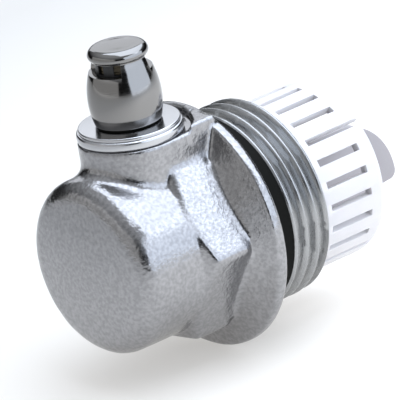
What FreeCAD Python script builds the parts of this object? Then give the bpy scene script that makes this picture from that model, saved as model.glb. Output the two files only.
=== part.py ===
"""Automatic radiator air vent with a float, a spring-loaded obturator and a screw cap.

Frame: origin in the middle of the flange's rear face, +Y along the G 1 thread into the
radiator, +Z up along the vent boss.  All sizes are millimetres.
"""
import FreeCAD, Part
import math
import os
import re
import Sketcher

doc = FreeCAD.newDocument("air_vent")
sheet = doc.addObject("Spreadsheet::Sheet", "Sizes")

SIZES = [
    # casting, along the thread axis
    ("nose_front", -25.3), ("nose_radius", 14.6), ("nose_edge", 3.6), ("dome_radius", 75.0),
    ("hex_front", -12.6), ("hex_back", -4.4), ("hex_flats", 29.5), ("hex_chamfer", 1.3),
    ("hex_corner", 1.0), ("land_back", -4.2), ("land_inner", 15.6), ("rim_front", -2.2),
    ("flange_radius", 20.4), ("rim_round", 0.5), ("cover_radius", 30.0),
    # G 1 thread, ISO 228
    ("thread_outer", 16.6245), ("thread_minor", 15.1455), ("thread_pitch", 2.309),
    ("neck_radius", 15.1), ("neck_length", 3.6), ("thread_start", 4.2), ("thread_end", 12.6),
    ("thread_bevel", 0.7), ("groove_first", 3.35), ("groove_turns", 4.75), ("crest_flat", 0.35),
    # chamber and cage socket
    ("chamber_radius", 12.4), ("chamber_front", -22.0), ("chamber_round", 3.0),
    ("socket_radius", 13.0), ("socket_depth", 4.0),
    # vent boss
    ("vent_y", -11.5), ("boss_radius", 8.6), ("seat_z", 18.9), ("pad_top", 20.0), ("pad_back", -1.2),
    ("spot_radius", 9.9), ("boss_bore", 5.25), ("ring_pocket", 7.05), ("ring_pocket_depth", 1.65),
    ("cast_blend", 2.0), ("boss_bore_foot", 5.0), ("overcut", 1.0), ("hair", 0.05),
    # flange seal
    ("seal_inner", 15.15), ("seal_outer", 16.35), ("seal_back", 3.5), ("seal_round", 0.4),
    ("seal_recess", 0.2), ("recess_radius", 16.65),
    # strainer cage
    ("cage_radius", 14.6), ("cage_bore", 13.0), ("cage_start", 12.65), ("cage_end", 26.4),
    ("cage_rim", 1.4), ("collar_radius", 12.95), ("collar_bore", 11.9), ("collar_start", 8.7),
    ("slot_width", 1.2), ("slot_start", 14.65), ("slot_end", 23.2), ("slot_count", 24),
    ("open_slot_count", 4), ("slot_phase", 2.0), ("slot_depth", 4.0), ("cage_taper", 1.0),
    # vent insert
    ("bead_radius", 8.6), ("bead_top", 20.5), ("disc_radius", 8.2), ("disc_top", 21.1),
    ("disc_round", 0.35), ("bead_foot_inset", 0.4), ("bead_waist", 0.3), ("bead_rise", 0.15),
    ("bead_round", 1.1), ("disc_groove", 0.1), ("shank_radius", 5.2), ("shank_foot", 12.6),
    ("stud_radius", 4.0),
    ("stud_foot", 8.6), ("stud_bore", 2.6), ("shutoff_seat", 17.4), ("passage_radius", 1.3),
    ("spigot_top", 25.2), ("insert_ring_radius", 6.15), ("insert_ring_section", 0.8),
    # nozzle
    ("nozzle_head", 3.3), ("nozzle_head_foot", 8.0), ("nozzle_lip", 1.1), ("nozzle_top", 12.0),
    ("nozzle_bore", 0.5),
    # pivot bracket, nut, pin, guide
    ("bracket_half", 5.9), ("bracket_sheet", 0.7), ("bracket_top", 10.6), ("bracket_foot", -1.6),
    ("bracket_near", -19.3), ("bracket_far", -6.0), ("nut_radius", 5.1), ("nut_foot", 8.9),
    ("pivot_y", -17.0), ("pin_radius", 0.8), ("guide_foot", 2.4), ("guide_top", 3.6),
    ("guide_near", -13.7), ("guide_far", -9.3), ("running_gap", 0.05),
    ("guide_clear", 0.8), ("pin_proud", 0.4),
    # float
    ("bulb_radius", 10.0), ("bulb_z", -0.8), ("bulb_start", -3.5), ("bulb_end", 17.0),
    ("float_wall", 1.0), ("bulb_round", 3.0), ("hollow_end", 3.6), ("tail_root", 4.5),
    ("tail_thick", 4.0), ("plug_thick", 1.6),
    ("tail_nose_y", 39.0), ("tail_nose_z", -4.6), ("tail_arc", 11.0), ("tail_arc_y", 29.0),
    ("tail_top", 5.8), ("tail_heel_y", 37.4), ("tail_heel_z", -5.9), ("tail_heel_arc", 1.5),
    ("tail_root_z", -8.3),
    ("lever_half", 3.0), ("lever_thick", 2.0), ("hub_radius", 1.9), ("hub_half", 4.9),
    ("lever_plate", 4.8), ("plate_thick", 1.2), ("screw_z", 3.1), ("screw_head", 1.1),
    ("screw_shank", 0.6), ("head_thick", 0.8),
    # obturator
    ("stem_radius", 1.05), ("foot_z", 1.05), ("foot_dome", 0.5), ("collar_foot", 3.7),
    ("collar_top", 4.3), ("collar_disc", 3.0), ("cup_foot", 5.3), ("cup_top", 6.5),
    ("cup_radius", 2.1), ("pad_radius", 1.7), ("pad_foot", 5.9), ("pad_face", 7.1),
    ("pad_edge", 0.15), ("foot_flat", 0.42),
    ("lift", 0.336), ("seat_gap", 0.03), ("spring_radius", 2.7), ("spring_wire", 0.17),
    ("spring_pitch", 0.85),
    # shut-off valve under the cap
    ("plunger_radius", 2.0), ("plunger_foot", 14.8), ("plunger_top", 15.6), ("plunger_stem", 0.8),
    ("plunger_tip", 24.6), ("tip_edge", 0.3), ("plunger_ring", 1.45), ("plunger_ring_section", 0.35),
    ("valve_spring_radius", 1.7), ("valve_spring_wire", 0.15), ("valve_spring_pitch", 0.7),
    # cap
    ("ring_inner", 4.15), ("ring_outer", 5.4), ("ring_top", 22.0), ("ring_edge", 0.2), ("cap_foot", 22.05),
    ("cap_foot_radius", 5.6), ("cap_arc", 14.0), ("sill_z", 29.95), ("sill_radius", 5.12),
    ("neck_z", 32.0), ("neck_outer", 4.45), ("knob_z", 33.0), ("knob_radius", 4.8),
    ("knob_under", 1.3), ("knob_over", 1.15), ("knob_top", 34.25), ("knob_flat", 3.7),
    ("knob_dome", 30.0), ("cap_thread", 4.05), ("cap_thread_top", 25.3), ("cap_bore", 4.0),
    ("cap_roof", 33.1), ("window_angle", 116.0), ("rib_phase", -5.0), ("foot_round", 0.4),
    ("foot_arc", 0.6), ("window_clear", 0.2),
    # cartridge and discs
    ("holder_radius", 3.9), ("holder_foot", 25.5), ("holder_floor", 26.3), ("holder_bore", 3.4),
    ("holder_top", 32.9), ("push_pin", 0.9), ("push_foot", 24.65), ("holder_slot", 1.2),
    ("disc_size", 3.3), ("disc_thick", 0.6), ("disc_step", 0.7), ("disc_count", 8), ("holder_slots", 8),
]

for row, (alias, size) in enumerate(SIZES, start=1):
    sheet.set("A%d" % row, alias)
    sheet.set("B%d" % row, str(size))
    sheet.setAlias("B%d" % row, alias)
doc.recompute()

ALIASES = {alias for alias, size in SIZES}
NEAR = 0.1  # how close an edge has to lie to where a test looks for it
NO_CHANGE = 1e-6  # a smaller change of volume means that a feature did nothing


def bound(text):
    """Turn a formula in size names into an expression on the sheet."""
    def prefix(match):
        word = match.group(0)
        return "Sizes." + word if word in ALIASES else word
    return re.sub(r"[a-z_]+", prefix, str(text))


def size_of(text):
    """Present value of a formula in size names."""
    value = sheet.evalExpression(bound(text))
    return float(getattr(value, "Value", value))


def bind(thing, prop, text):
    """Bind one property of an object to a formula in size names."""
    thing.setExpression(prop, bound(text))


def plane(body, role):
    """Origin plane or axis of a body, found by its role."""
    for feature in body.Origin.OriginFeatures:
        if feature.Role == role:
            return feature
    raise ValueError(role)


def new_body(label):
    body = doc.addObject("PartDesign::Body", label)
    body.Label = label
    return body


def new_sketch(body, name, role, offset=None):
    """Sketch on one of the body's origin planes, moved along its normal by a formula."""
    sketch = body.newObject("Sketcher::SketchObject", name)
    sketch.AttachmentSupport = (plane(body, role), [""])
    sketch.MapMode = "FlatFace"
    if offset is not None:
        bind(sketch, "AttachmentOffset.Base.z", offset)
    return sketch


def arc_between(start, end, radius, side):
    """Minor arc between two points, its centre left (+1) or right (-1) of the way."""
    chord = end - start
    middle = (start + end) * 0.5
    rise = math.sqrt(max(radius ** 2 - (chord.Length / 2) ** 2, 0.0))
    left = FreeCAD.Vector(-chord.y, chord.x, 0).normalize()
    centre = middle + left * (side * rise)
    first, last = (start, end) if side > 0 else (end, start)
    angles = [math.atan2(point.y - centre.y, point.x - centre.x) for point in (first, last)]
    circle = Part.Circle(centre, FreeCAD.Vector(0, 0, 1), radius)
    return Part.ArcOfCircle(circle, angles[0], angles[1])


def outline(sketch, corners):
    """Closed outline. A corner is (x, y) or (x, y, radius, side) when an arc leaves it."""
    spots = [FreeCAD.Vector(size_of(c[0]), size_of(c[1]), 0) for c in corners]
    ends = []
    for index, corner in enumerate(corners):
        start, end = spots[index], spots[(index + 1) % len(spots)]
        if len(corner) == 2:
            number = sketch.addGeometry(Part.LineSegment(start, end), False)
            ends.append((number, 1, 2))
            continue
        number = sketch.addGeometry(arc_between(start, end, size_of(corner[2]), corner[3]), False)
        ends.append((number, 1, 2) if corner[3] > 0 else (number, 2, 1))
    for index, corner in enumerate(corners):
        number, first, last = ends[index]
        following = ends[(index + 1) % len(ends)]
        sketch.addConstraint(Sketcher.Constraint("Coincident", number, last, following[0], following[1]))
        for kind, text, axis in (("DistanceX", corner[0], -2), ("DistanceY", corner[1], -1)):
            fix_point(sketch, number, first, kind, text, axis)
        if len(corner) > 2:
            mark = sketch.addConstraint(Sketcher.Constraint("Radius", number, size_of(corner[2])))
            sketch.setExpression("Constraints[%d]" % mark, bound(corner[2]))


def fix_point(sketch, number, end, kind, text, axis):
    """Hold one coordinate of a point, on the axis itself where the formula is 0."""
    if str(text) == "0":
        sketch.addConstraint(Sketcher.Constraint("PointOnObject", number, end, axis))
        return
    mark = sketch.addConstraint(Sketcher.Constraint(kind, -1, 1, number, end, size_of(text)))
    sketch.setExpression("Constraints[%d]" % mark, bound(text))


def round_outline(sketch, x_text, y_text, radius_text):
    """One circle."""
    centre = FreeCAD.Vector(size_of(x_text), size_of(y_text), 0)
    circle = Part.Circle(centre, FreeCAD.Vector(0, 0, 1), size_of(radius_text))
    number = sketch.addGeometry(circle, False)
    fix_point(sketch, number, 3, "DistanceX", x_text, -2)
    fix_point(sketch, number, 3, "DistanceY", y_text, -1)
    mark = sketch.addConstraint(Sketcher.Constraint("Radius", number, size_of(radius_text)))
    sketch.setExpression("Constraints[%d]" % mark, bound(radius_text))


def box_outline(sketch, low_x, low_y, high_x, high_y):
    """Rectangle between two corners."""
    outline(sketch, [(low_x, low_y), (high_x, low_y), (high_x, high_y), (low_x, high_y)])


def below(corners):
    """The same outline drawn on the far side of the axis, which puts the seam there."""
    flipped = []
    for corner in corners:
        height = "0" if corner[1] == "0" else "-(%s)" % corner[1]
        arc = (corner[2], -corner[3]) if len(corner) > 2 else ()
        flipped.append((corner[0], height) + arc)
    return flipped


def turned(body, name, corners, axis, kind="PartDesign::Revolution"):
    """Turn an outline about the thread axis ("H_Axis") or the vent axis ("V_Axis")."""
    sketch = new_sketch(body, name + "_outline", "YZ_Plane" if axis == "H_Axis" else "XZ_Plane")
    outline(sketch, corners)
    doc.recompute()
    feature = body.newObject(kind, name)
    feature.Profile = sketch
    feature.ReferenceAxis = (sketch, [axis])
    feature.Angle = 360
    return settle(body, feature)


def pushed(body, name, sketch, length, kind="PartDesign::Pad", middle=False, back=False):
    """Pad or pocket of a sketch by a formula's length."""
    doc.recompute()
    feature = body.newObject(kind, name)
    feature.Profile = sketch
    feature.Reversed = back
    feature.Midplane = middle
    bind(feature, "Length", length)
    return settle(body, feature)


def settle(body, feature):
    """Make a feature the body's tip and check that it changed the solid."""
    before = body.Shape.Volume if not body.Shape.isNull() else 0.0
    body.Tip = feature
    doc.recompute()
    if "Invalid" in feature.State or "Error" in feature.State or feature.Shape.isNull():
        raise RuntimeError("%s %s failed %s" % (body.Label, feature.Name, feature.State))
    if abs(body.Shape.Volume - before) < NO_CHANGE:
        raise RuntimeError("%s %s changed nothing" % (body.Label, feature.Name))
    return feature


def patterned(body, name, original, axis_role, count):
    """Polar pattern of one feature about an origin axis."""
    pattern = body.newObject("PartDesign::PolarPattern", name)
    pattern.Originals = [original]
    pattern.Axis = (plane(body, axis_role), [""])
    pattern.Angle = 360
    bind(pattern, "Occurrences", count)
    return settle(body, pattern)


def edged(body, name, kind, base, picked, text):
    """Fillet or chamfer on the edges that a test picks."""
    edges = ["Edge%d" % (n + 1) for n, edge in enumerate(base.Shape.Edges) if picked(edge)]
    if not edges:
        raise RuntimeError("%s %s found no edge" % (body.Label, name))
    feature = body.newObject(kind, name)
    feature.Base = (base, edges)
    bind(feature, "Radius" if kind.endswith("Fillet") else "Size", text)
    return settle(body, feature)


def on_vent_axis(body):
    """Stand a body that was turned about its own Z axis on the vent axis."""
    bind(body, "Placement.Base.y", "vent_y")


def spans(edge):
    """Bounding box of an edge."""
    return edge.BoundBox


def valve_body():
    """Chromed brass casting with the machined thread, seat and chamber."""
    body = new_body("valve_body")
    dome = "(dome_radius - sqrt(dome_radius^2 - (nose_radius - nose_edge)^2))"
    turned(body, "casting", below([
        ("nose_front", "0"),
        ("thread_end", "0"),
        ("thread_end", "thread_outer - thread_bevel"),
        ("thread_end - thread_bevel", "thread_outer"),
        ("thread_start", "thread_outer"),
        ("neck_length", "neck_radius"),
        ("-seal_recess", "neck_radius"),
        ("-seal_recess", "recess_radius"),
        ("0", "recess_radius"),
        ("0", "flange_radius - rim_round"),
        ("-rim_round", "flange_radius"),
        ("rim_front + rim_round", "flange_radius", "rim_round", 1),
        ("rim_front", "flange_radius - rim_round", "cover_radius", -1),
        ("land_back", "land_inner"),
        ("hex_back", "nose_radius"),
        ("nose_front + %s + nose_edge" % dome, "nose_radius", "nose_edge", 1),
        ("nose_front + %s" % dome, "nose_radius - nose_edge", "dome_radius", 1),
    ]), "H_Axis")
    hexagon = new_sketch(body, "hexagon", "XZ_Plane", "-hex_back")
    corner = "hex_flats / 2 / cos(30)"
    points = []
    for number in range(6):
        across = round(math.sin(math.radians(30 + 60 * number)), 9)
        height = round(math.cos(math.radians(30 + 60 * number)), 9)
        points.append(("%s * %s" % (corner, across), "%s * %s" % (corner, height)))
    outline(hexagon, points)
    pushed(body, "spanner_hexagon", hexagon, "hex_back - hex_front")
    turned(body, "hexagon_chamfer", [
        ("hex_front - overcut", "hex_flats / 2"),
        ("hex_front", "hex_flats / 2"),
        ("hex_front + hex_chamfer", "hex_flats / 2 / cos(30) + hair"),
        ("hex_front - overcut", "hex_flats / 2 / cos(30) + hair"),
    ], "H_Axis", "PartDesign::Groove")
    boss = new_sketch(body, "boss_circle", "XY_Plane")
    round_outline(boss, "0", "vent_y", "boss_radius")
    pushed(body, "vent_boss", boss, "pad_top")
    pad = new_sketch(body, "pad_rectangle", "XY_Plane")
    box_outline(pad, "-boss_radius", "vent_y", "boss_radius", "pad_back")
    return pushed(body, "boss_pad", pad, "pad_top")


def saddle_edge(edge):
    """The curve where the boss runs into the nose."""
    box = spans(edge)
    side_height = size_of("sqrt(nose_radius^2 - boss_radius^2)")
    ahead = box.YMax < size_of("hex_front + hair") and box.XLength > size_of("boss_radius")
    return ahead and side_height < box.ZMin + NEAR and box.ZMax < size_of("nose_radius") + NEAR


def hexagon_corner(edge):
    """An edge along a free corner of the hexagon."""
    box = spans(edge)
    reach = size_of("hex_flats / 2 / cos(30)")
    along = box.XLength < NEAR and box.ZLength < NEAR and edge.Length > size_of("hex_chamfer")
    return along and abs(math.hypot(box.XMin, box.ZMin) - reach) < NEAR and box.ZMin < NEAR


def finished_valve_body():
    """Cast blends, then the machined seat, bores, chamber and thread."""
    rough = valve_body()
    body = rough.getParentGeoFeatureGroup()
    blend = edged(body, "boss_blend", "PartDesign::Fillet", rough, saddle_edge, "cast_blend")
    edged(body, "corner_rounds", "PartDesign::Fillet", blend, hexagon_corner, "hex_corner")
    seat = new_sketch(body, "spot_circle", "XY_Plane", "seat_z")
    round_outline(seat, "0", "vent_y", "spot_radius")
    pushed(body, "spot_face", seat, "flange_radius", "PartDesign::Pocket", back=True)
    turned(body, "chamber", [
        ("chamber_front", "0"),
        ("thread_end + overcut", "0"),
        ("thread_end + overcut", "socket_radius"),
        ("thread_end - socket_depth", "socket_radius"),
        ("thread_end - socket_depth", "chamber_radius"),
        ("chamber_front + chamber_round", "chamber_radius", "chamber_round", 1),
        ("chamber_front", "chamber_radius - chamber_round"),
    ], "H_Axis", "PartDesign::Groove")
    bore = new_sketch(body, "bore_circle", "XY_Plane", "seat_z")
    round_outline(bore, "0", "vent_y", "boss_bore")
    pushed(body, "boss_hole", bore, "seat_z - boss_bore_foot", "PartDesign::Pocket")
    ring = new_sketch(body, "ring_circle", "XY_Plane", "seat_z")
    round_outline(ring, "0", "vent_y", "ring_pocket")
    pushed(body, "ring_counterbore", ring, "ring_pocket_depth", "PartDesign::Pocket")
    groove = new_sketch(body, "thread_groove", "YZ_Plane")
    crest = "(thread_pitch - crest_flat) / 2"
    outline(groove, [
        ("groove_first - %s - hair" % crest, "thread_outer + 2 * hair"),
        ("groove_first - crest_flat / 2", "thread_minor"),
        ("groove_first + crest_flat / 2", "thread_minor"),
        ("groove_first + %s + hair" % crest, "thread_outer + 2 * hair"),
    ])
    doc.recompute()
    thread = body.newObject("PartDesign::SubtractiveHelix", "thread")
    thread.Profile = groove
    thread.ReferenceAxis = (groove, ["H_Axis"])
    thread.Mode = "pitch-turns-angle"
    bind(thread, "Pitch", "thread_pitch")
    bind(thread, "Turns", "groove_turns")
    settle(body, thread)
    return body


def flange_seal():
    """Flat black rubber ring behind the flange."""
    body = new_body("flange_seal")
    turned(body, "ring", [
        ("-seal_recess", "seal_inner"),
        ("seal_back", "seal_inner"),
        ("seal_back", "seal_outer - seal_round"),
        ("seal_back - seal_round", "seal_outer"),
        ("seal_round - seal_recess", "seal_outer"),
        ("-seal_recess", "seal_outer - seal_round"),
    ], "H_Axis")
    return body


def float_cage():
    """Slotted plastic strainer that snaps into the end of the thread."""
    body = new_body("float_cage")
    turned(body, "tube", [
        ("collar_start", "collar_bore"),
        ("cage_start", "collar_bore"),
        ("cage_start + cage_taper", "cage_bore"),
        ("cage_end", "cage_bore"),
        ("cage_end", "cage_radius - cage_rim", "cage_rim", 1),
        ("cage_end - cage_rim", "cage_radius"),
        ("cage_start", "cage_radius"),
        ("cage_start", "collar_radius"),
        ("collar_start", "collar_radius"),
    ], "H_Axis")
    slot = new_sketch(body, "slot_outline", "XY_Plane", "cage_bore - overcut")
    box_outline(slot, "-slot_width / 2", "slot_start", "slot_width / 2", "slot_end")
    slots = pushed(body, "slot", slot, "slot_depth", "PartDesign::Pocket", back=True)
    patterned(body, "slots", slots, "Y_Axis", "slot_count")
    notch = new_sketch(body, "open_slot_outline", "XY_Plane", "0")
    box_outline(notch, "-slot_width / 2", "slot_end - overcut", "slot_width / 2", "cage_end + overcut")
    notch.AttachmentOffset = FreeCAD.Placement(
        FreeCAD.Vector(0, 0, 0), FreeCAD.Rotation(FreeCAD.Vector(0, 1, 0), 45))
    open_slot = pushed(body, "open_slot", notch, "cage_radius + overcut", "PartDesign::Pocket",
                       back=True)
    patterned(body, "open_slots", open_slot, "Y_Axis", "open_slot_count")
    body.Placement = FreeCAD.Placement(FreeCAD.Vector(), FreeCAD.Rotation(FreeCAD.Vector(0, 1, 0), 1))
    bind(body, "Placement.Rotation.Angle", "slot_phase")
    return body


def vent_insert():
    """Polished beaded disc with its shank, stud and the spigot for the cap."""
    body = new_body("vent_insert")
    turned(body, "insert", [
        ("stud_bore", "stud_foot"),
        ("stud_radius", "stud_foot"),
        ("stud_radius", "shank_foot"),
        ("shank_radius", "shank_foot"),
        ("shank_radius", "seat_z"),
        ("bead_radius - bead_foot_inset", "seat_z"),
        ("bead_radius - bead_waist", "seat_z + bead_rise", "bead_round", 1),
        ("bead_radius - bead_waist", "bead_top"),
        ("disc_radius", "bead_top + disc_groove"),
        ("disc_radius", "disc_top - disc_round", "disc_round", 1),
        ("disc_radius - disc_round", "disc_top"),
        ("stud_radius", "disc_top"),
        ("stud_radius", "spigot_top"),
        ("passage_radius", "spigot_top"),
        ("passage_radius", "shutoff_seat"),
        ("stud_bore", "shutoff_seat"),
    ], "V_Axis")
    on_vent_axis(body)
    return body


def ring_on_vent(label, radius, section, height):
    """Torus on the vent axis."""
    body = new_body(label)
    sketch = new_sketch(body, "section", "XZ_Plane")
    round_outline(sketch, radius, height, section)
    doc.recompute()
    feature = body.newObject("PartDesign::Revolution", "ring")
    feature.Profile = sketch
    feature.ReferenceAxis = (sketch, ["V_Axis"])
    feature.Angle = 360
    settle(body, feature)
    on_vent_axis(body)
    return body


def seat_nozzle():
    """Nozzle pressed into the stud, its lip facing down as the obturator's seat."""
    body = new_body("seat_nozzle")
    turned(body, "nozzle", [
        ("nozzle_bore", "pad_face + lift + seat_gap"),
        ("nozzle_lip", "pad_face + lift + seat_gap"),
        ("nozzle_lip", "nozzle_head_foot"),
        ("nozzle_head", "nozzle_head_foot"),
        ("nozzle_head", "stud_foot"),
        ("stud_bore", "stud_foot"),
        ("stud_bore", "nozzle_top"),
        ("nozzle_bore", "nozzle_top"),
    ], "V_Axis")
    on_vent_axis(body)
    return body


def pivot_bracket():
    """Bent sheet clamped on the stud, its two ears carrying the pivot pin."""
    body = new_body("pivot_bracket")
    front = new_sketch(body, "channel", "XZ_Plane", "-bracket_far")
    inner = "bracket_half - bracket_sheet"
    outline(front, [
        ("-bracket_half", "bracket_foot"),
        ("-(%s)" % inner, "bracket_foot"),
        ("-(%s)" % inner, "bracket_top - bracket_sheet"),
        (inner, "bracket_top - bracket_sheet"),
        (inner, "bracket_foot"),
        ("bracket_half", "bracket_foot"),
        ("bracket_half", "bracket_top"),
        ("-bracket_half", "bracket_top"),
    ])
    pushed(body, "bent_sheet", front, "bracket_far - bracket_near")
    hole = new_sketch(body, "stud_hole", "XY_Plane", "bracket_top + overcut")
    round_outline(hole, "0", "vent_y", "stud_radius")
    pushed(body, "stud_opening", hole, "bracket_sheet + 2 * overcut", "PartDesign::Pocket")
    pin = new_sketch(body, "pin_holes", "YZ_Plane")
    round_outline(pin, "pivot_y", "0", "pin_radius")
    pushed(body, "pin_opening", pin, "4 * bracket_half", "PartDesign::Pocket", middle=True)
    relief = new_sketch(body, "ear_relief", "YZ_Plane")
    box_outline(relief, "guide_far + guide_clear", "bracket_foot - overcut", "bracket_far + overcut",
                "bracket_top - 2 * bracket_sheet")
    pushed(body, "ear_opening", relief, "4 * bracket_half", "PartDesign::Pocket", middle=True)
    return body


def bracket_nut():
    """Hexagon nut on the stud that clamps the bracket."""
    body = new_body("bracket_nut")
    sketch = new_sketch(body, "nut_outline", "XY_Plane", "nut_foot")
    points = []
    for number in range(6):
        across = round(math.cos(math.radians(60 * number)), 9)
        height = round(math.sin(math.radians(60 * number)), 9)
        points.append(("nut_radius * %s" % across, "nut_radius * %s" % height))
    outline(sketch, points)
    pushed(body, "nut", sketch, "bracket_top - bracket_sheet - nut_foot")
    hole = new_sketch(body, "nut_hole", "XY_Plane", "bracket_top")
    round_outline(hole, "0", "0", "stud_radius")
    pushed(body, "nut_bore", hole, "bracket_top", "PartDesign::Pocket")
    on_vent_axis(body)
    return body


def pivot_pin():
    """Stainless pin across the ears."""
    body = new_body("pivot_pin")
    sketch = new_sketch(body, "pin_circle", "YZ_Plane")
    round_outline(sketch, "pivot_y", "0", "pin_radius")
    pushed(body, "pin", sketch, "2 * (bracket_half + pin_proud)", middle=True)
    return body


def stem_guide():
    """Plastic bridge between the ears that guides the stem."""
    body = new_body("stem_guide")
    sketch = new_sketch(body, "bridge", "XY_Plane", "guide_foot")
    half = "bracket_half - bracket_sheet"
    box_outline(sketch, "-(%s)" % half, "guide_near", half, "guide_far")
    pushed(body, "bridge_block", sketch, "guide_top - guide_foot")
    hole = new_sketch(body, "guide_hole", "XY_Plane", "guide_top + overcut")
    round_outline(hole, "0", "vent_y", "stem_radius + running_gap")
    pushed(body, "guide_bore", hole, "guide_top - guide_foot + 2 * overcut", "PartDesign::Pocket")
    return body


def float_shell():
    """Hollow float: round bulb in the chamber and a flat tail beyond the cage."""
    body = new_body("float_shell")
    bulb = new_sketch(body, "bulb_circle", "XZ_Plane", "-bulb_end")
    round_outline(bulb, "0", "bulb_z", "bulb_radius")
    solid = pushed(body, "bulb", bulb, "bulb_end - bulb_start")
    far = size_of("bulb_end")
    edged(body, "bulb_rounding", "PartDesign::Fillet", solid,
          lambda edge: spans(edge).YMin > far - NEAR, "bulb_round")
    hollow = new_sketch(body, "hollow_circle", "XZ_Plane", "-bulb_end + hollow_end")
    round_outline(hollow, "0", "bulb_z", "bulb_radius - float_wall")
    pushed(body, "hollow", hollow, "bulb_end", "PartDesign::Pocket", back=True)
    tail = new_sketch(body, "tail_outline", "YZ_Plane")
    outline(tail, [
        ("bulb_end - tail_root", "tail_root_z"),
        ("tail_heel_y", "tail_heel_z", "tail_heel_arc", 1),
        ("tail_nose_y", "tail_nose_z", "tail_arc", 1),
        ("tail_arc_y", "tail_top"),
        ("bulb_end - tail_root", "tail_top"),
    ])
    pushed(body, "tail", tail, "tail_thick", middle=True)
    hollow_again = new_sketch(body, "hollow_circle_2", "XZ_Plane", "-bulb_end + hollow_end")
    round_outline(hollow_again, "0", "bulb_z", "bulb_radius - float_wall")
    pushed(body, "hollow_clear", hollow_again, "bulb_end", "PartDesign::Pocket", back=True)
    return body


def float_end_plug():
    """Disc welded into the open end of the float."""
    body = new_body("float_end_plug")
    sketch = new_sketch(body, "plug_circle", "XZ_Plane", "-bulb_start")
    round_outline(sketch, "0", "bulb_z", "bulb_radius - float_wall")
    pushed(body, "plug", sketch, "plug_thick", back=True)
    for side in (1, -1):
        name = "upper" if side > 0 else "lower"
        hole = new_sketch(body, name + "_screw_hole", "XZ_Plane", "-bulb_start + overcut")
        round_outline(hole, "0", "screw_z * %d" % side, "screw_shank")
        pushed(body, name + "_pilot", hole, "plug_thick + 2 * overcut", "PartDesign::Pocket")
    return body


def float_lever():
    """Lever: hub on the pin, bar under the stem, plate screwed to the float."""
    body = new_body("float_lever")
    hub = new_sketch(body, "hub_circle", "YZ_Plane")
    round_outline(hub, "pivot_y", "0", "hub_radius")
    pushed(body, "hub", hub, "2 * hub_half", middle=True)
    bar = new_sketch(body, "bar_outline", "YZ_Plane")
    box_outline(bar, "pivot_y", "-lever_thick / 2", "bulb_start - plate_thick", "lever_thick / 2")
    pushed(body, "bar", bar, "2 * lever_half", middle=True)
    plate = new_sketch(body, "plate_circle", "XZ_Plane", "-bulb_start")
    round_outline(plate, "0", "0", "lever_plate")
    pushed(body, "plate", plate, "plate_thick")
    bore = new_sketch(body, "bore_circle", "YZ_Plane")
    round_outline(bore, "pivot_y", "0", "pin_radius + running_gap")
    pushed(body, "bore", bore, "4 * hub_half", "PartDesign::Pocket", middle=True)
    for side in (1, -1):
        name = "upper" if side > 0 else "lower"
        hole = new_sketch(body, name + "_hole", "XZ_Plane", "-bulb_start + plate_thick + overcut")
        round_outline(hole, "0", "screw_z * %d" % side, "screw_shank")
        pushed(body, name + "_opening", hole, "plate_thick + 2 * overcut", "PartDesign::Pocket")
    return body


def lever_screws():
    """Two small screws that hold the lever's plate to the plug."""
    screws = []
    for side in (1, -1):
        name = "upper" if side > 0 else "lower"
        head = doc.addObject("Part::Cylinder", name + "_head")
        bind(head, "Radius", "screw_head")
        bind(head, "Height", "head_thick")
        shank = doc.addObject("Part::Cylinder", name + "_shank")
        bind(shank, "Radius", "screw_shank")
        bind(shank, "Height", "head_thick + plate_thick + plug_thick")
        for piece in (head, shank):
            turn = FreeCAD.Rotation(FreeCAD.Vector(1, 0, 0), -90)
            piece.Placement = FreeCAD.Placement(FreeCAD.Vector(), turn)
            bind(piece, "Placement.Base.y", "bulb_start - plate_thick - head_thick")
            bind(piece, "Placement.Base.z", "screw_z * %d" % side)
        screw = doc.addObject("Part::Fuse", name + "_screw")
        screw.Base = head
        screw.Tool = shank
        screws.append(screw)
    group = doc.addObject("Part::Compound", "lever_screws")
    group.Links = screws
    group.Label = "lever_screws"
    doc.recompute()
    return group


def obturator_stem():
    """Brass stem: domed foot on the lever, spring collar and pad cup."""
    body = new_body("obturator_stem")
    turned(body, "stem", [
        ("0", "foot_z"),
        ("foot_flat", "foot_z"),
        ("stem_radius", "foot_z + foot_dome"),
        ("stem_radius", "collar_foot"),
        ("collar_disc", "collar_foot"),
        ("collar_disc", "collar_top"),
        ("stem_radius", "collar_top"),
        ("stem_radius", "cup_foot"),
        ("cup_radius", "cup_foot"),
        ("cup_radius", "cup_top"),
        ("pad_radius", "cup_top"),
        ("pad_radius", "pad_foot"),
        ("0", "pad_foot"),
    ], "V_Axis")
    on_vent_axis(body)
    return body


def obturator_pad():
    """Rubber pad that closes the nozzle."""
    body = new_body("obturator_pad")
    turned(body, "pad", [
        ("0", "pad_foot"),
        ("pad_radius", "pad_foot"),
        ("pad_radius", "pad_face - pad_edge"),
        ("pad_radius - pad_edge", "pad_face"),
        ("0", "pad_face"),
    ], "V_Axis")
    on_vent_axis(body)
    return body


def coil_spring(label, radius, wire, pitch, foot, top):
    """Compression spring on the vent axis."""
    body = new_body(label)
    sketch = new_sketch(body, "wire_section", "XZ_Plane")
    round_outline(sketch, radius, "%s + %s" % (foot, wire), wire)
    doc.recompute()
    coil = body.newObject("PartDesign::AdditiveHelix", "coil")
    coil.Profile = sketch
    coil.ReferenceAxis = (sketch, ["V_Axis"])
    coil.Mode = "pitch-height-angle"
    bind(coil, "Pitch", pitch)
    bind(coil, "Height", "%s - %s - 2 * %s" % (top, foot, wire))
    settle(body, coil)
    on_vent_axis(body)
    return body


def shutoff_plunger():
    """Plunger that shuts the passage when the cap comes off."""
    body = new_body("shutoff_plunger")
    turned(body, "plunger", [
        ("0", "plunger_foot"),
        ("plunger_radius", "plunger_foot"),
        ("plunger_radius", "plunger_top"),
        ("plunger_stem", "plunger_top"),
        ("plunger_stem", "plunger_tip - tip_edge"),
        ("plunger_stem - tip_edge", "plunger_tip"),
        ("0", "plunger_tip"),
    ], "V_Axis")
    on_vent_axis(body)
    return body


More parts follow.
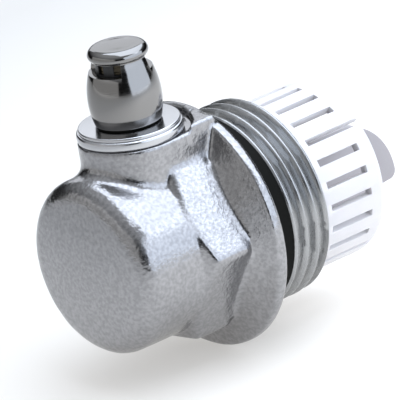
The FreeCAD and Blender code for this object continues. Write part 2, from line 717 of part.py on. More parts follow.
def cap_seal_ring():
    """Black ring squeezed between the disc and the cap."""
    body = new_body("cap_seal_ring")
    turned(body, "ring", [
        ("ring_inner", "disc_top"),
        ("ring_outer - ring_edge", "disc_top"),
        ("ring_outer", "disc_top + ring_edge"),
        ("ring_outer", "ring_top - ring_edge"),
        ("ring_outer - ring_edge", "ring_top"),
        ("ring_inner", "ring_top"),
    ], "V_Axis")
    on_vent_axis(body)
    return body


def cap_shell():
    """Screw cap: ogive barrel, two windows between ribs, and the knob."""
    body = new_body("cap_shell")
    dome = "(knob_dome - sqrt(knob_dome^2 - knob_flat^2))"
    turned(body, "barrel", [
        ("cap_thread", "cap_foot"),
        ("cap_foot_radius - foot_round", "cap_foot", "foot_arc", 1),
        ("cap_foot_radius + hair", "cap_foot + foot_round", "cap_arc", 1),
        ("sill_radius", "sill_z"),
        ("neck_outer", "neck_z", "knob_under", 1),
        ("knob_radius", "knob_z", "knob_over", 1),
        ("knob_flat", "knob_top - %s" % dome, "knob_dome", 1),
        ("0", "knob_top"),
        ("0", "cap_roof"),
        ("cap_bore", "cap_roof"),
        ("cap_bore", "cap_thread_top"),
        ("cap_thread", "cap_thread_top"),
    ], "V_Axis")
    window = turned(body, "window", [
        ("cap_bore - overcut", "sill_z"),
        ("sill_radius + overcut", "sill_z"),
        ("sill_radius + overcut", "neck_z"),
        ("cap_bore - overcut", "neck_z"),
    ], "V_Axis", "PartDesign::Groove")
    window.Midplane = True
    bind(window, "Angle", "window_angle")
    patterned(body, "windows", window, "Z_Axis", "2")
    body.Placement = FreeCAD.Placement(FreeCAD.Vector(), FreeCAD.Rotation(FreeCAD.Vector(0, 0, 1), 1))
    bind(body, "Placement.Rotation.Angle", "90 + rib_phase")
    on_vent_axis(body)
    return body


def cartridge_holder():
    """Dark plastic cup that carries the discs and pushes the plunger down."""
    body = new_body("cartridge_holder")
    turned(body, "cup", [
        ("0", "push_foot"),
        ("push_pin", "push_foot"),
        ("push_pin", "holder_foot"),
        ("holder_radius", "holder_foot"),
        ("holder_radius", "holder_top"),
        ("holder_bore", "holder_top"),
        ("holder_bore", "holder_floor"),
        ("0", "holder_floor"),
    ], "V_Axis")
    slot = new_sketch(body, "air_slot_outline", "XZ_Plane", "holder_bore - overcut")
    box_outline(slot, "-holder_slot / 2", "sill_z + window_clear", "holder_slot / 2",
                "neck_z - window_clear")
    cut = pushed(body, "air_slot", slot, "holder_radius", "PartDesign::Pocket", back=True)
    patterned(body, "air_slots", cut, "Z_Axis", "holder_slots")
    on_vent_axis(body)
    return body


def fibre_discs():
    """Stack of separate fibre discs that swell and seal when they get wet."""
    discs = []
    for number in range(int(size_of("disc_count"))):
        disc = doc.addObject("Part::Cylinder", "fibre_disc_%d" % (number + 1))
        bind(disc, "Radius", "disc_size")
        bind(disc, "Height", "disc_thick")
        bind(disc, "Placement.Base.y", "vent_y")
        bind(disc, "Placement.Base.z", "holder_floor + hair + disc_step * %d" % number)
        discs.append(disc)
    stack = doc.addObject("Part::Compound", "fibre_discs")
    stack.Links = discs
    stack.Label = "fibre_discs"
    doc.recompute()
    return stack


def write_parts(parts):
    """Check every object, then write one STEP file for each sub-part."""
    doc.recompute()
    for thing in doc.Objects:
        if "Invalid" in thing.State or "Error" in thing.State:
            raise RuntimeError("%s is %s" % (thing.Label, thing.State))
    for part in parts:
        if part.Shape.isNull() or not part.Shape.isValid():
            raise RuntimeError("%s has no valid shape" % part.Label)
    os.makedirs("parts", exist_ok=True)
    for part in parts:
        part.Shape.exportStep("parts/%s.step" % part.Label)
        print("%-18s %9.2f mm3 %d solids" % (part.Label, part.Shape.Volume, len(part.Shape.Solids)))


write_parts([
    finished_valve_body(),
    flange_seal(),
    float_cage(),
    vent_insert(),
    ring_on_vent("insert_o_ring", "insert_ring_radius", "insert_ring_section",
                 "seat_z - insert_ring_section"),
    seat_nozzle(),
    pivot_bracket(),
    bracket_nut(),
    pivot_pin(),
    stem_guide(),
    float_shell(),
    float_end_plug(),
    float_lever(),
    lever_screws(),
    obturator_stem(),
    obturator_pad(),
    coil_spring("obturator_spring", "spring_radius", "spring_wire", "spring_pitch",
                "collar_top", "nozzle_head_foot"),
    shutoff_plunger(),
    ring_on_vent("shutoff_ring", "plunger_ring", "plunger_ring_section",
                 "plunger_top + plunger_ring_section"),
    coil_spring("shutoff_spring", "valve_spring_radius", "valve_spring_wire", "valve_spring_pitch",
                "nozzle_top", "plunger_foot"),
    cap_seal_ring(),
    cap_shell(),
    cartridge_holder(),
    fibre_discs(),
])
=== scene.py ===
"""Looks of the automatic air vent: cast, turned and moulded skins around the fixed frame.

Metres throughout.  The thread axis is +Y, the vent axis stands on it along +Z.
"""

import math

import bmesh
import bpy
from mathutils import Matrix, Vector, noise


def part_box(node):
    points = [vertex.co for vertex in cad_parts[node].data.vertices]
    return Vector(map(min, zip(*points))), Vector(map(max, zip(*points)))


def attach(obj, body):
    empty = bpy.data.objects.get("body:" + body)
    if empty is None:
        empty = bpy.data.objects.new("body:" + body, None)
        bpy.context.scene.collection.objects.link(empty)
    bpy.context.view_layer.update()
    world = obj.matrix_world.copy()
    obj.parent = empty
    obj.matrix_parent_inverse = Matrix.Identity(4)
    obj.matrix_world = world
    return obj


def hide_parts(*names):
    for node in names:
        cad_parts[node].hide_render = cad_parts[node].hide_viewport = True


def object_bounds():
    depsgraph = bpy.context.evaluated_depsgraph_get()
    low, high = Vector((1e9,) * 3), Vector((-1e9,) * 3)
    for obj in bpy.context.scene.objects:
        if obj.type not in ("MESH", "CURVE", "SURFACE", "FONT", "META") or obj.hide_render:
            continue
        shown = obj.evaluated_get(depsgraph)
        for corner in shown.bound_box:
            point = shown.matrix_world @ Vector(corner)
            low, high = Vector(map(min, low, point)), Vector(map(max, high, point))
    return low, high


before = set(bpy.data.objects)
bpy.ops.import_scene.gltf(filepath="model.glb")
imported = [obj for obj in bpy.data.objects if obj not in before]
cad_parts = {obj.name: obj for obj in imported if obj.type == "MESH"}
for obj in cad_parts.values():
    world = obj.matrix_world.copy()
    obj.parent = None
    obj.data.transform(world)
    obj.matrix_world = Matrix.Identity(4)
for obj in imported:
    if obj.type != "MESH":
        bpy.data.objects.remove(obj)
cad_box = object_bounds()

MM = 0.001
THREAD_AXIS = Vector((0, 1, 0))
VENT_AXIS = Vector((0, 0, 1))

# Driving places, read off the frame
INSERT_LOW, INSERT_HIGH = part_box("vent_insert")
SEAL_LOW, SEAL_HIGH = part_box("flange_seal")
VENT = Vector((0, (INSERT_LOW.y + INSERT_HIGH.y) / 2, 0))

# Heights above the thread axis and radii about the vent axis, in millimetres
SEAT, DISC_TOP = 18.9, 21.1
SPIGOT, SPIGOT_TOP = 4.0, 25.2
SHANK, SHANK_FOOT = 5.2, 12.6
SKIRT_FOOT, CAP_FOOT = 21.42, 22.05
BARREL_FOOT, BARREL_TOP = (5.66, 22.5), (5.12, 29.95)
NECK_TOP = (4.45, 32.0)
KNOB_EDGE, KNOB_SHOULDER, KNOB_TOP = (4.85, 33.0), (3.4, 34.0), (0.0, 34.25)

# The two windows lie between the barrel's top and the neck's top
SILL_Z, NECK_Z = BARREL_TOP[1] * MM, NECK_TOP[1] * MM
WINDOW = math.radians(116)
RIB_TURN = math.radians(-5)


# ---------------------------------------------------------------- nodes and finishes

def linear(hex_text):
    """sRGB hex colour as linear RGBA."""
    parts = [int(hex_text[i:i + 2], 16) / 255 for i in (0, 2, 4)]
    return [c / 12.92 if c <= 0.04045 else ((c + 0.055) / 1.055) ** 2.4 for c in parts] + [1.0]


def add(tree, kind, settings=(), links=()):
    """Add a node, set its fields or inputs, and link sources into its inputs."""
    made = tree.nodes.new(kind)
    for name, value in dict(settings).items():
        if isinstance(name, int) or name in made.inputs:
            made.inputs[name].default_value = value
        else:
            setattr(made, name, value)
    for name, source in dict(links).items():
        tree.links.new(source, made.inputs[name])
    return made


def finish(name, colour, metallic, roughness, **more):
    """A material with its shader; fixed values go straight on the shader's sockets."""
    material = bpy.data.materials.new(name)
    material.use_nodes = True
    tree = material.node_tree
    tree.nodes.clear()
    settings = {"Base Color": linear(colour), "Metallic": metallic, "Roughness": roughness}
    settings.update({key.replace("_", " "): value for key, value in more.items()})
    shader = add(tree, "ShaderNodeBsdfPrincipled", settings)
    add(tree, "ShaderNodeOutputMaterial", links={"Surface": shader.outputs[0]})
    return material, tree, shader


def in_place(tree, size, stretch=(1, 1, 1)):
    """Object coordinates scaled so that one unit is the given real size."""
    place = add(tree, "ShaderNodeTexCoord")
    scale = [factor / size for factor in stretch]
    return add(tree, "ShaderNodeMapping", {"Scale": scale}, {"Vector": place.outputs["Object"]})


def grain(tree, size, detail=2.0, stretch=(1, 1, 1)):
    """Soft noise of a real size."""
    place = in_place(tree, size, stretch)
    return add(tree, "ShaderNodeTexNoise", {"Scale": 1.0, "Detail": detail, "Roughness": 0.5},
               {"Vector": place.outputs[0]})


def ramp(tree, source, low, high, first, last):
    """Map a source's range low..high to first..last."""
    return add(tree, "ShaderNodeMapRange",
               {"From Min": low, "From Max": high, "To Min": first, "To Max": last},
               {"Value": source})


def raise_by(tree, shader, source, height):
    """Bump of a real height."""
    bump = add(tree, "ShaderNodeBump", {"Strength": 1.0, "Distance": height}, {"Height": source})
    tree.links.new(bump.outputs[0], shader.inputs["Normal"])


def vary(tree, shader, source, low, high, first, last):
    """Roughness that runs from first to last with a source's range."""
    haze = ramp(tree, source, low, high, first, last)
    tree.links.new(haze.outputs[0], shader.inputs["Roughness"])


def tint(tree, shader, source, first, last):
    """Base colour that runs between two hex tones with a source."""
    tone = add(tree, "ShaderNodeMix", {"data_type": "RGBA", 6: linear(first), 7: linear(last)},
               {0: source})
    tree.links.new(tone.outputs[2], shader.inputs["Base Color"])


def cast_chrome():
    """Chromium plate over a sand casting: a hazy mirror broken up by 0.6 mm pebbles and finer pits, with
    painted shade darkening the pebbles' hollows.
    """
    material, tree, shader = finish("cast_chrome_plate", "99999B", 1.0, 0.2)
    pebbles = grain(tree, 0.6 * MM, 1.5)
    pits = grain(tree, 0.25 * MM, 2.0)
    both = add(tree, "ShaderNodeMath", {"operation": "MULTIPLY_ADD", 1: 0.22},
               {0: pits.outputs[0], 2: pebbles.outputs[0]})
    raise_by(tree, shader, both.outputs[0], 0.05 * MM)
    # painted shade: the base colour darkens where the pebbles sink, in their hollows
    hollow_shade = ramp(tree, pebbles.outputs[0], 0.35, 0.65, 0, 1)
    tint(tree, shader, hollow_shade.outputs[0], "909092", "A1A1A3")
    vary(tree, shader, pits.outputs[0], 0.35, 0.7, 0.17, 0.27)
    return material


def machined_chrome():
    """Chromium plate over a turned face: smooth, with faint waves 1.2 mm long."""
    material, tree, shader = finish("machined_chrome_plate", "9E9EA0", 1.0, 0.12)
    marks = grain(tree, 1.2 * MM, 1.0)
    raise_by(tree, shader, marks.outputs[0], 0.006 * MM)
    vary(tree, shader, marks.outputs[0], 0.3, 0.7, 0.09, 0.16)
    return material


def turned_thread():
    """Cut brass thread under thin plate: satin, with cutter lines running round the axis."""
    material, tree, shader = finish("cut_thread_plate", "B4B5B6", 1.0, 0.3)
    lines = grain(tree, 1 * MM, 2.0, (0.6, 14, 0.6))
    raise_by(tree, shader, lines.outputs[0], 0.005 * MM)
    vary(tree, shader, lines.outputs[0], 0.3, 0.7, 0.22, 0.38)
    tint(tree, shader, lines.outputs[0], "8E8F90", "B2B3B4")
    return material


def polished_chrome():
    """Buffed chromium plate: a bright surface with a soft buffing haze."""
    material, tree, shader = finish("buffed_chrome_plate", "BABBBE", 1.0, 0.1)
    vary(tree, shader, grain(tree, 2 * MM, 3.0).outputs[0], 0.3, 0.7, 0.15, 0.21)
    return material


def dark_nickel():
    """Bright nickel plate, darker and warmer than chromium, with fine turning lines."""
    material, tree, shader = finish("bright_nickel_plate", "878685", 1.0, 0.12)
    lines = grain(tree, 1 * MM, 1.0, (0.4, 0.4, 9))
    raise_by(tree, shader, lines.outputs[0], 0.0025 * MM)
    vary(tree, shader, lines.outputs[0], 0.3, 0.7, 0.09, 0.15)
    return material


def turned_brass():
    """Bare turned brass with tool lines."""
    material, tree, shader = finish("turned_brass", "C8A45A", 1.0, 0.28)
    lines = grain(tree, 1 * MM, 2.0, (0.5, 0.5, 10))
    raise_by(tree, shader, lines.outputs[0], 0.008 * MM)
    tint(tree, shader, lines.outputs[0], "B48F4A", "D2B06A")
    return material


def stainless():
    """Drawn and rolled stainless steel with fine drawing lines."""
    material, tree, shader = finish("drawn_stainless", "A9AAAC", 1.0, 0.3)
    lines = grain(tree, 1 * MM, 2.0, (12, 0.5, 0.5))
    raise_by(tree, shader, lines.outputs[0], 0.005 * MM)
    vary(tree, shader, lines.outputs[0], 0.3, 0.7, 0.22, 0.4)
    return material


def rubber():
    """Moulded EPDM rubber: near black, dull, with a fine mould grain."""
    material, tree, shader = finish("moulded_epdm", "0B0B0A", 0.0, 0.75, IOR=1.52, Specular_IOR_Level=0.1)
    skin = grain(tree, 0.18 * MM, 3.0)
    raise_by(tree, shader, skin.outputs[0], 0.012 * MM)
    tint(tree, shader, grain(tree, 3 * MM).outputs[0], "080807", "0E0F0C")
    return material


def white_polyamide():
    """Moulded white polyamide: satin, a touch translucent, faintly cool."""
    material, tree, shader = finish(
        "moulded_white_polyamide", "D5D3D5", 0.0, 0.42, IOR=1.53,
        Subsurface_Weight=0.15, Subsurface_Radius=(0.6 * MM, 0.5 * MM, 0.5 * MM), Subsurface_Scale=1.0)
    skin = grain(tree, 0.25 * MM, 2.0)
    raise_by(tree, shader, skin.outputs[0], 0.006 * MM)
    tint(tree, shader, grain(tree, 6 * MM).outputs[0], "D1CFD1", "D9D7D9")
    return material


def natural_polypropylene():
    """Moulded natural polypropylene: greyish, soft sheen."""
    material, tree, shader = finish(
        "moulded_natural_polypropylene", "9C989B", 0.0, 0.45, IOR=1.49,
        Subsurface_Weight=0.1, Subsurface_Radius=(0.8 * MM, 0.7 * MM, 0.7 * MM), Subsurface_Scale=1.0)
    skin = grain(tree, 0.3 * MM, 2.0)
    raise_by(tree, shader, skin.outputs[0], 0.008 * MM)
    tint(tree, shader, grain(tree, 5 * MM).outputs[0], "979396", "A19DA0")
    return material


def black_acetal():
    """Moulded black acetal: smooth satin black."""
    material, tree, shader = finish("moulded_black_acetal", "17181A", 0.0, 0.35, IOR=1.48)
    skin = grain(tree, 0.25 * MM, 2.0)
    raise_by(tree, shader, skin.outputs[0], 0.006 * MM)
    tint(tree, shader, grain(tree, 2 * MM).outputs[0], "131416", "1E1F21")
    return material


def pressed_fibre():
    """Pressed cellulose fibre: matt, mottled tan."""
    material, tree, shader = finish("pressed_cellulose", "6A6150", 0.0, 0.85, IOR=1.5)
    fibres = grain(tree, 0.35 * MM, 4.0, (1, 1, 3))
    raise_by(tree, shader, fibres.outputs[0], 0.03 * MM)
    tint(tree, shader, fibres.outputs[0], "585142", "7A705D")
    return material


FINISHES = {
    "cast": cast_chrome(), "machined": machined_chrome(), "thread": turned_thread(),
    "polished": polished_chrome(), "nickel": dark_nickel(), "brass": turned_brass(),
    "steel": stainless(), "rubber": rubber(), "white": white_polyamide(),
    "natural": natural_polypropylene(), "black": black_acetal(), "fibre": pressed_fibre(),
}


# ---------------------------------------------------------------- making pieces

def put(name, bm, finishes, angle=35):
    """Object at the origin from a finished mesh, smooth except over sharp edges."""
    mesh = bpy.data.meshes.new(name)
    bm.to_mesh(mesh)
    bm.free()
    for finish_name in finishes:
        mesh.materials.append(FINISHES[finish_name])
    mesh.shade_smooth()
    mesh.set_sharp_from_angle(angle=math.radians(angle))
    piece = bpy.data.objects.new(name, mesh)
    bpy.context.scene.collection.objects.link(piece)
    return piece


def stands_for(piece, body, slot, *nodes):
    """Ride on a body and replace CAD nodes; the slot is not used."""
    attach(piece, body)
    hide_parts(*nodes)
    return piece


def merged_copy(node):
    """A CAD node's mesh with its loose triangles joined."""
    bm = bmesh.new()
    bm.from_mesh(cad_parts[node].data)
    bmesh.ops.remove_doubles(bm, verts=bm.verts, dist=1e-6)
    return bm


def applied(piece):
    """Replace a piece's mesh by its modified one."""
    graph = bpy.context.evaluated_depsgraph_get()
    mesh = bpy.data.meshes.new_from_object(piece.evaluated_get(graph))
    piece.modifiers.clear()
    old = piece.data
    piece.data = mesh
    bpy.data.meshes.remove(old)
    return piece


def half_of(bm, place, normal):
    """Keep what lies behind a plane and close the cut."""
    bmesh.ops.bisect_plane(bm, geom=bm.verts[:] + bm.edges[:] + bm.faces[:], plane_co=place,
                           plane_no=normal, clear_outer=True, dist=1e-7)
    rim = [edge for edge in bm.edges if edge.is_boundary]
    bmesh.ops.triangle_fill(bm, edges=rim, use_beauty=True, normal=normal)


def smooth_step(low, high, value):
    """Share from 0 to 1 that eases from low to high."""
    share = min(max((value - low) / (high - low), 0.0), 1.0)
    return share * share * (3 - 2 * share)


THREAD_CUT = 0.1 * MM  # just behind the flange, under the seal
BORE_RADIUS = 13.0 * MM
BORE_END = -21 * MM
MACHINED_HOLD = 0.12  # share of the softening that machined faces still get
SEAT_RADIUS, SHANK_HOLE = 10.05 * MM, 7.6 * MM
WAVES = ((1.6 * MM, 0.02 * MM), (5 * MM, 0.04 * MM))  # length and height of the cast skin's waves


def casting_share(spot):
    """How far a spot of the body is as cast, from 0 on machined faces to 1."""
    ahead_of_rim = smooth_step(-2.0 * MM, -3.4 * MM, spot.y)
    off_seat = 1 - smooth_step((SEAT - 1.3) * MM, (SEAT - 0.4) * MM, spot.z)
    radial = math.hypot(spot.x, spot.z)
    outside = smooth_step(BORE_RADIUS - 0.4 * MM, BORE_RADIUS, radial) if spot.y > BORE_END else 1.0
    return ahead_of_rim * outside * off_seat


def wave_share(spot):
    """How much of the casting's waves a spot gets."""
    ahead_of_rim = smooth_step(-1.9 * MM, -2.6 * MM, spot.y)
    return ahead_of_rim * (1 - smooth_step((SEAT - 0.7) * MM, (SEAT - 0.3) * MM, spot.z))


def is_machined(face):
    """Whether a face belongs to the vent's seat, the bore or the flange's back."""
    spot = face.center
    near_vent = math.hypot(spot.x, spot.y - VENT.y)
    on_seat = spot.z > (SEAT - 1.9) * MM and near_vent < SEAT_RADIUS and (
        abs(face.normal.z) > 0.9 or near_vent > 9.5 * MM or near_vent < SHANK_HOLE)
    in_bore = math.hypot(spot.x, spot.z) < BORE_RADIUS + 0.2 * MM and spot.y > -22.5 * MM
    on_back = spot.y > -0.6 * MM and abs(face.normal.y) > 0.7
    return on_seat or in_bore or on_back


def cast_body():
    """Casting in front of the thread: cast corners melted round, machined faces kept."""
    bm = merged_copy("valve_body")
    half_of(bm, Vector((0, THREAD_CUT, 0)), THREAD_AXIS)
    piece = put("cast_body", bm, ["cast"])
    remesh = piece.modifiers.new("skin", "REMESH")
    remesh.mode = "VOXEL"
    remesh.voxel_size = 0.34 * MM
    applied(piece)
    group = piece.vertex_groups.new(name="cast")
    for vert in piece.data.vertices:
        group.add([vert.index], max(casting_share(vert.co), MACHINED_HOLD), "REPLACE")
    soften = piece.modifiers.new("soften", "SMOOTH")
    soften.factor = 0.5
    soften.iterations = 14
    soften.vertex_group = "cast"
    applied(piece)
    piece.vertex_groups.clear()
    shape = bmesh.new()
    shape.from_mesh(piece.data)
    shape.normal_update()
    for vert in shape.verts:
        spot = vert.co
        wave = sum(noise.noise(spot / length) * height for length, height in WAVES)
        vert.co = spot + vert.normal * (wave * wave_share(spot))
    shape.to_mesh(piece.data)
    shape.free()
    piece.data.materials.clear()
    piece.data.materials.append(FINISHES["cast"])
    piece.data.materials.append(FINISHES["machined"])
    for face in piece.data.polygons:
        face.material_index = 1 if is_machined(face) else 0
        face.use_smooth = True
    return stands_for(piece, "root", "chromed_casting", "valve_body")


def union_thread():
    """The cut G 1 thread behind the flange."""
    bm = merged_copy("valve_body")
    half_of(bm, Vector((0, THREAD_CUT, 0)), -THREAD_AXIS)
    piece = put("union_thread", bm, ["thread"], 30)
    return stands_for(piece, "root", "chromed_casting", "valve_body")


def lathed(name, outline, finishes, axis=VENT_AXIS, centre=VENT, steps=128):
    """Spin a closed outline of (radius, along, rounding) corners in millimetres."""
    bm = bmesh.new()
    across = Vector((1, 0, 0))
    verts = [bm.verts.new(centre + across * (c[0] * MM) + axis * (c[1] * MM)) for c in outline]
    face = bm.faces.new(verts)
    sizes = {vert: c[2] for vert, c in zip(verts, outline)}
    for size in sorted(set(sizes.values()) - {0}):
        picked = [vert for vert in verts if sizes[vert] == size]
        bmesh.ops.bevel(bm, geom=picked, offset=size * MM, offset_type="OFFSET", segments=4,
                        profile=0.5, affect="VERTICES", material=-1, clamp_overlap=True)
    bmesh.ops.delete(bm, geom=bm.faces[:], context="FACES_ONLY")
    bmesh.ops.spin(bm, geom=bm.verts[:] + bm.edges[:], cent=centre, axis=axis,
                   angle=math.tau, steps=steps, use_merge=True)
    bmesh.ops.remove_doubles(bm, verts=bm.verts, dist=2e-6)
    bmesh.ops.recalc_face_normals(bm, faces=bm.faces)
    return put(name, bm, finishes)


def bowed(start, end, radius, steps):
    """Points of an outward arc from start to end, the end left out, in (radius, along)."""
    a, b = Vector(start), Vector(end)
    chord = b - a
    rise = math.sqrt(radius ** 2 - chord.length_squared / 4)
    inward = Vector((-chord.y, chord.x)).normalized()
    middle = (a + b) / 2 + inward * rise
    first, last = a - middle, b - middle
    sweep = first.angle_signed(last)
    points = []
    for step in range(steps):
        turned = first.copy()
        turned.rotate(Matrix.Rotation(-sweep * step / steps, 2))
        points.append(tuple(middle + turned) + (0,))
    return points


def rounded_copy(name, node, width, finishes, segments=2):
    """A CAD node's shape with its sharp edges broken by a real radius."""
    bm = merged_copy(node)
    bmesh.ops.dissolve_limit(bm, angle_limit=math.radians(1.5), verts=bm.verts, edges=bm.edges)
    sharp = [e for e in bm.edges if e.is_manifold and e.calc_face_angle(0) > math.radians(30)]
    bmesh.ops.bevel(bm, geom=sharp, offset=width * MM, offset_type="OFFSET", segments=segments,
                    profile=0.5, affect="EDGES", material=-1, clamp_overlap=True)
    return put(name, bm, finishes, 40)


def beaded_insert():
    """Polished disc and bead with the shank below and the spigot above."""
    piece = lathed("beaded_insert", [
        (2.6, 8.6, 0), (4.0, 8.6, 0.2), (4.0, SHANK_FOOT, 0), (SHANK, SHANK_FOOT, 0.2), (SHANK, SEAT, 0),
        (8.2, SEAT, 0.3), (8.6, 19.15, 0.25), (8.6, 20.5, 0.75), (8.12, 20.5, 0.05),
        (8.22, 20.6, 0.1), (8.2, DISC_TOP, 0.3), (4.15, DISC_TOP, 0.1), (SPIGOT, 21.3, 0),
        (SPIGOT, SPIGOT_TOP, 0.15), (1.3, SPIGOT_TOP, 0.1), (1.3, 17.4, 0), (2.6, 17.4, 0),
    ], ["polished"])
    return stands_for(piece, "root", "polished_chrome", "vent_insert")


def squeezed_ring():
    """Black ring between the disc and the cap, mostly inside the cap's skirt."""
    piece = lathed("squeezed_ring", [
        (4.15, DISC_TOP, 0.15), (5.15, DISC_TOP, 0.1), (5.1, 21.4, 0), (5.1, 22.0, 0.05),
        (4.15, 22.0, 0.05),
    ], ["rubber"], steps=96)
    return stands_for(piece, "cap_carrier", "black_rubber", "cap_seal_ring")


SEAL_BORE, SEAL_SWELL = 15.15, 1.7  # radius, and length past the CAD seal, in millimetres


def rolled_seal():
    """Rubber ring behind the flange with moulded round corners, swollen into the first groove."""
    low, high = SEAL_LOW.y / MM, SEAL_HIGH.y / MM + SEAL_SWELL
    outer = SEAL_HIGH.x / MM
    piece = lathed("rolled_seal", [
        (SEAL_BORE, low, 0.1), (outer, low, 0.35), (outer, high, 0.45), (SEAL_BORE, high, 0.1),
    ], ["rubber"], THREAD_AXIS, Vector())
    return stands_for(piece, "root", "black_rubber", "flange_seal")


CAP_BORE, CAP_CEILING = 4.05, 33.1
WINDOW_FLOOR, WINDOW_REACH = 3.4 * MM, 7 * MM  # radii between which a window is cut


def knobbed_cap():
    """Screw cap: ogive barrel, two windows between ribs, knob with a rolled rim."""
    outline = [
        (CAP_BORE, CAP_FOOT, 0), (5.15, CAP_FOOT, 0), (5.15, SKIRT_FOOT, 0.05),
        (5.42, SKIRT_FOOT, 0.15), (*BARREL_FOOT, 0),
        *bowed(BARREL_FOOT, BARREL_TOP, 14.0, 10)[1:], (*BARREL_TOP, 0),
        *bowed(BARREL_TOP, NECK_TOP, 9.0, 4)[1:], (*NECK_TOP, 0.15),
        *bowed((4.5, 32.1), KNOB_EDGE, 0.75, 6)[1:],
        *bowed(KNOB_EDGE, KNOB_SHOULDER, 1.35, 9), (*KNOB_SHOULDER, 0),
        *bowed(KNOB_SHOULDER, KNOB_TOP, 24.0, 4)[1:], (*KNOB_TOP, 0),
        (0.0, CAP_CEILING, 0), (SPIGOT, CAP_CEILING, 0), (SPIGOT, 25.3, 0), (CAP_BORE, SPIGOT_TOP, 0),
    ]
    piece = lathed("knobbed_cap", outline, ["nickel"])
    cutters = []
    for side in (0, 1):
        bm = bmesh.new()
        middle = RIB_TURN + math.pi / 2 + side * math.pi
        first = Vector((math.cos(middle - WINDOW / 2), math.sin(middle - WINDOW / 2), 0))
        corners = [(WINDOW_FLOOR, SILL_Z), (WINDOW_REACH, SILL_Z), (WINDOW_REACH, NECK_Z),
                   (WINDOW_FLOOR, NECK_Z)]
        face = bm.faces.new([bm.verts.new(VENT + first * across + VENT_AXIS * height)
                             for across, height in corners])
        bmesh.ops.spin(bm, geom=[face] + face.edges[:] + face.verts[:], cent=VENT, axis=VENT_AXIS,
                       angle=WINDOW, steps=48, use_merge=False)
        bmesh.ops.remove_doubles(bm, verts=bm.verts, dist=1e-7)
        bmesh.ops.recalc_face_normals(bm, faces=bm.faces)
        cutter = put("window_cutter", bm, ["nickel"])
        cut = piece.modifiers.new("window", "BOOLEAN")
        cut.operation = "DIFFERENCE"
        cut.solver = "EXACT"
        cut.object = cutter
        cutters.append(cutter)
    applied(piece)
    for cutter in cutters:
        bpy.data.objects.remove(cutter)
    bm = bmesh.new()
    bm.from_mesh(piece.data)
    bmesh.ops.remove_doubles(bm, verts=bm.verts, dist=2e-6)
    edges = [e for e in bm.edges if e.is_manifold and e.calc_face_angle(0) > math.radians(50)
             and all(SILL_Z - 0.1 * MM < end.co.z < NECK_Z + 0.1 * MM for end in e.verts)]
    bmesh.ops.bevel(bm, geom=edges, offset=0.1 * MM, offset_type="OFFSET", segments=2, profile=0.5,
                    affect="EDGES", material=-1, clamp_overlap=True)
    bm.to_mesh(piece.data)
    bm.free()
    piece.data.shade_smooth()
    piece.data.set_sharp_from_angle(angle=math.radians(40))
    return stands_for(piece, "cap", "polished_chrome", "cap_shell")


def moulded_cage():
    """Slotted cage with moulded edge radii."""
    piece = rounded_copy("moulded_cage", "float_cage", 0.14, ["white"])
    return stands_for(piece, "root", "white_plastic", "float_cage")


def moulded_float():
    """Float with the soft edges of its flat tail."""
    piece = rounded_copy("moulded_float", "float_shell", 0.3, ["natural"], 3)
    return stands_for(piece, "float", "natural_plastic", "float_shell")


cast_body()
union_thread()
beaded_insert()
squeezed_ring()
rolled_seal()
knobbed_cap()
moulded_cage()
moulded_float()

# ---------------------------------------------------------------- carried-over nodes

CARRIED = {
    "vent_insert": "polished", "cap_seal_ring": "rubber", "cap_shell": "nickel",
    "flange_seal": "rubber", "float_cage": "white", "float_shell": "natural",
    "insert_o_ring": "rubber", "seat_nozzle": "brass", "pivot_bracket": "steel",
    "bracket_nut": "brass", "pivot_pin": "steel", "stem_guide": "natural",
    "float_end_plug": "natural", "float_lever": "natural", "lever_screws": "steel",
    "obturator_stem": "brass", "obturator_pad": "rubber", "obturator_spring": "steel",
    "shutoff_plunger": "brass", "shutoff_ring": "rubber", "shutoff_spring": "steel",
    "cartridge_holder": "black", "fibre_discs": "fibre", "valve_body": "machined",
}
for node_name, finish_name in CARRIED.items():
    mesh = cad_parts[node_name].data
    mesh.materials.clear()
    mesh.materials.append(FINISHES[finish_name])

# ---------------------------------------------------------------- floor, light, camera

LIT_RADIUS = 270 * MM  # the floor's glow dies out here
LIT_CENTRE = (110 * MM, 85 * MM, 0)  # to the right and behind


def studio_floor():
    """Plain pale floor just under the flange's rim, glowing softly upwards in a painted pool of light."""
    bm = bmesh.new()
    bmesh.ops.create_circle(bm, cap_ends=True, segments=64, radius=1.5)
    mesh = bpy.data.meshes.new("studio_floor")
    bm.to_mesh(mesh)
    bm.free()
    material, tree, shader = finish("floor_with_painted_glow", "C4C2BE", 0.0, 0.9, IOR=1.4,
                                    Emission_Color=linear("FFFDFA"))
    # painted pool of light: emission 0.5 around LIT_CENTRE, fading to nothing at LIT_RADIUS
    place = in_place(tree, LIT_RADIUS)
    place.inputs["Location"].default_value = [-way / LIT_RADIUS for way in LIT_CENTRE]
    pool = add(tree, "ShaderNodeTexGradient", {"gradient_type": "SPHERICAL"},
               {"Vector": place.outputs[0]})
    glow = ramp(tree, pool.outputs[1], 0.0, 0.6, 0.0, 0.5)
    tree.links.new(glow.outputs[0], shader.inputs["Emission Strength"])
    mesh.materials.append(material)
    card = bpy.data.objects.new("studio_floor", mesh)
    card.location.z = cad_box[0].z - 0.3 * MM
    bpy.context.scene.collection.objects.link(card)


def softbox(name, toward, distance, width, height, radiance, colour="FFFFFF"):
    """Rectangular soft light that faces the object, given by the brightness of its face."""
    lamp = bpy.data.lights.new(name, "AREA")
    lamp.shape = "RECTANGLE"
    lamp.size = width
    lamp.size_y = height
    lamp.energy = radiance * math.pi * width * height
    lamp.color = linear(colour)[:3]
    holder = bpy.data.objects.new(name, lamp)
    way = Vector(toward).normalized()
    holder.location = way * distance
    holder.rotation_mode = "QUATERNION"
    holder.rotation_quaternion = way.to_track_quat("Z", "Y")
    bpy.context.scene.collection.objects.link(holder)


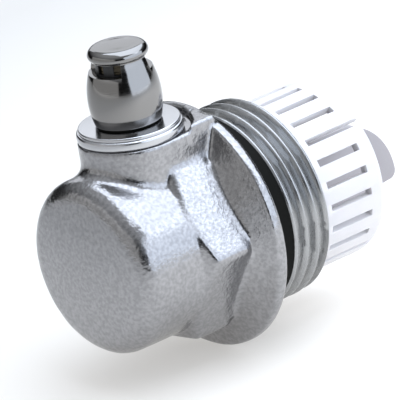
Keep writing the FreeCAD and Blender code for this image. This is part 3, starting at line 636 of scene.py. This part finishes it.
def studio_light():
    """Room bright above and dark at the horizon, with boxes overhead, right, left back and in front."""
    world = bpy.data.worlds.new("dim_room")
    bpy.context.scene.world = world
    world.use_nodes = True
    tree = world.node_tree
    tree.nodes.clear()
    way = add(tree, "ShaderNodeTexCoord")
    split = add(tree, "ShaderNodeSeparateXYZ", links={0: way.outputs["Generated"]})
    height = ramp(tree, split.outputs[2], 0.25, 0.85, 0.02, 0.8)
    room = add(tree, "ShaderNodeBackground", {"Color": linear("F2F5FA")}, {"Strength": height.outputs[0]})
    add(tree, "ShaderNodeOutputWorld", links={"Surface": room.outputs[0]})
    softbox("overhead_box", (0.1, 0.42, 1), 0.6, 0.95, 0.8, 2.8, "E6F0FF")
    softbox("right_box", (0.93, 0.37, 0.28), 0.62, 1.0, 0.44, 2.3, "E6F0FF")
    softbox("left_back_box", (-0.742, 0.576, 0.4), 0.6, 0.5, 0.26, 1.3, "F4F8FF")
    softbox("front_left_wall", (-0.21, -0.98, 0.24), 0.6, 1.3, 0.42, 0.6)
    sun = bpy.data.lights.new("room_fill", "SUN")
    sun.energy = 0.35
    sun.angle = math.radians(150)
    fill = bpy.data.objects.new("room_fill", sun)
    fill.visible_glossy = False
    bpy.context.scene.collection.objects.link(fill)


def studio_camera():
    """Long lens at the viewing angle, with the small roll that the set-up has."""
    azimuth, elevation, roll = math.radians(52.2), math.radians(20.05), math.radians(-9.1)
    back = Vector((math.sin(azimuth) * math.cos(elevation),
                   -math.cos(azimuth) * math.cos(elevation), math.sin(elevation)))
    level = Vector((math.cos(azimuth), math.sin(azimuth), 0))
    upright = back.cross(level)
    right = level * math.cos(roll) + upright * math.sin(roll)
    up = upright * math.cos(roll) - level * math.sin(roll)
    distance, frame_width = 1.2, 63.6 * MM
    lens = bpy.data.cameras.new("camera")
    lens.sensor_width = 36.0
    lens.lens = lens.sensor_width * distance / frame_width
    lens.clip_start = 0.1
    lens.clip_end = 10.0
    camera = bpy.data.objects.new("camera", lens)
    turn = Matrix((right, up, back)).transposed().to_4x4()
    camera.matrix_world = Matrix.Translation(Vector((0, 0, 3.55 * MM)) + back * distance) @ turn
    bpy.context.scene.collection.objects.link(camera)
    bpy.context.scene.camera = camera


studio_floor()
studio_light()
studio_camera()
bpy.context.scene.view_settings.view_transform = "Standard"
